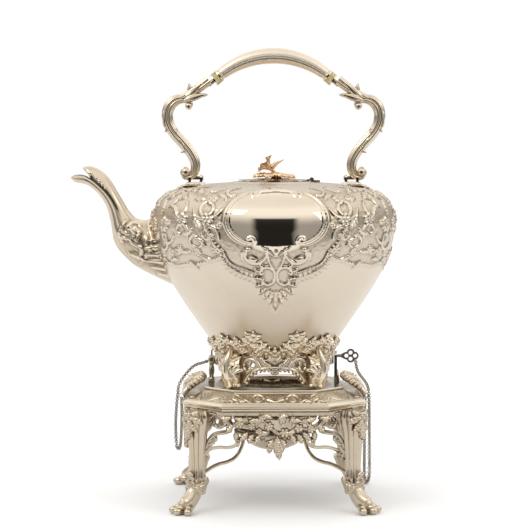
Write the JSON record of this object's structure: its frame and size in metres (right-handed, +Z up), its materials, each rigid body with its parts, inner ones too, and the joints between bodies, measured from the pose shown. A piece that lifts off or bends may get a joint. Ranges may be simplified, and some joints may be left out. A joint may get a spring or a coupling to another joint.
{
  "type": "spirit kettle on stand",
  "caption": "Silver kettle with a swinging handle and hinged lid, tilting on a four-legged stand that holds a spirit burner.",
  "frame": {"origin": "on the surface the stand rests on, at the middle of the object's box, which lies between the spout tip and the far side of the body", "axes": "+Z up, the spout points along -X, the front with the plain oval faces -Y"},
  "size_m": [0.287, 0.216, 0.4],
  "materials": {
    "silver": "polished silver with a warm tarnish in the hollows",
    "dark_silver": "darkened silver wire",
    "gilt": "worn gilding",
    "ivory": "aged ivory-coloured insulator",
    "cotton": "cotton wick"
  },
  "bodies": {
    "stand": {"stand_deck": "silver", "stand_cove": "silver", "stand_rim": "silver", "border_left": "silver", "border_right": "silver", "apron_front": "silver", "apron_back": "silver", "apron_left": "silver", "apron_right": "silver", "leg_1": "silver", "leg_2": "silver", "leg_3": "silver", "leg_4": "silver", "tilt_posts": "silver", "lock_plate": "silver", "burner_ring": "dark_silver", "burner_stays": "dark_silver", "chain_left": "dark_silver", "chain_right": "dark_silver", "chain_eyes": "dark_silver"},
    "kettle": {"kettle_shell": "silver", "kettle_bottom": "silver", "lid_bezel": "silver", "lid_hinge_leaf": "silver", "lid_hinge_pin": "dark_silver", "spout": "silver", "handle_socket_left": "silver", "handle_socket_right": "silver", "handle_pin_left": "dark_silver", "handle_pin_right": "dark_silver", "kettle_band": "silver", "kettle_foot_1": "silver", "kettle_foot_2": "silver", "kettle_foot_3": "silver", "kettle_foot_4": "silver", "tilt_barrel": "silver", "lock_tongue": "silver"},
    "lid": {"lid": "silver", "lid_finial": "gilt", "finial_nut": "silver"},
    "handle": {"handle_arm_left": "silver", "handle_arm_right": "silver", "insulator_left": "ivory", "insulator_right": "ivory", "ferrules": "silver", "handle_dowels": "dark_silver", "handle_grip": "silver"},
    "tilt_pin": {"tilt_pin": "dark_silver"},
    "lock_pin": {"lock_pin": "dark_silver"},
    "burner": {"burner_bowl": "silver", "burner_top": "silver", "wick_tube": "silver", "wick": "cotton", "snuffer_pin": "dark_silver"},
    "snuffer": {"snuffer": "silver"}
  },
  "joints": [
    {"name": "kettle_tilt", "type": "hinge", "parent": "stand", "child": "kettle", "pos_m": [-0.0195, 0, 0.125], "axis": [0, -1, 0], "range_deg": [0, 60]},
    {"name": "handle_swing", "type": "hinge", "parent": "kettle", "child": "handle", "pos_m": [0.0355, 0, 0.2855], "axis": [1, 0, 0], "range_deg": [-75, 75]},
    {"name": "lid_open", "type": "hinge", "parent": "kettle", "child": "lid", "pos_m": [0.0692, 0, 0.2844], "axis": [0, 1, 0], "range_deg": [0, 95]},
    {"name": "tilt_pin_slide", "type": "slide", "parent": "stand", "child": "tilt_pin", "axis": [0, 1, 0], "range_m": [0, 0.03]},
    {"name": "lock_pin_slide", "type": "slide", "parent": "stand", "child": "lock_pin", "axis": [1, 0, 0], "range_m": [-0.0034, 0.015]},
    {"name": "burner_lift", "type": "slide", "parent": "stand", "child": "burner", "axis": [0, 0, 1], "range_m": [0, 0.02]},
    {"name": "snuffer_open", "type": "hinge", "parent": "burner", "child": "snuffer", "pos_m": [0.0465, 0, 0.0809], "axis": [0, 1, 0], "range_deg": [0, 100]}
  ]
}
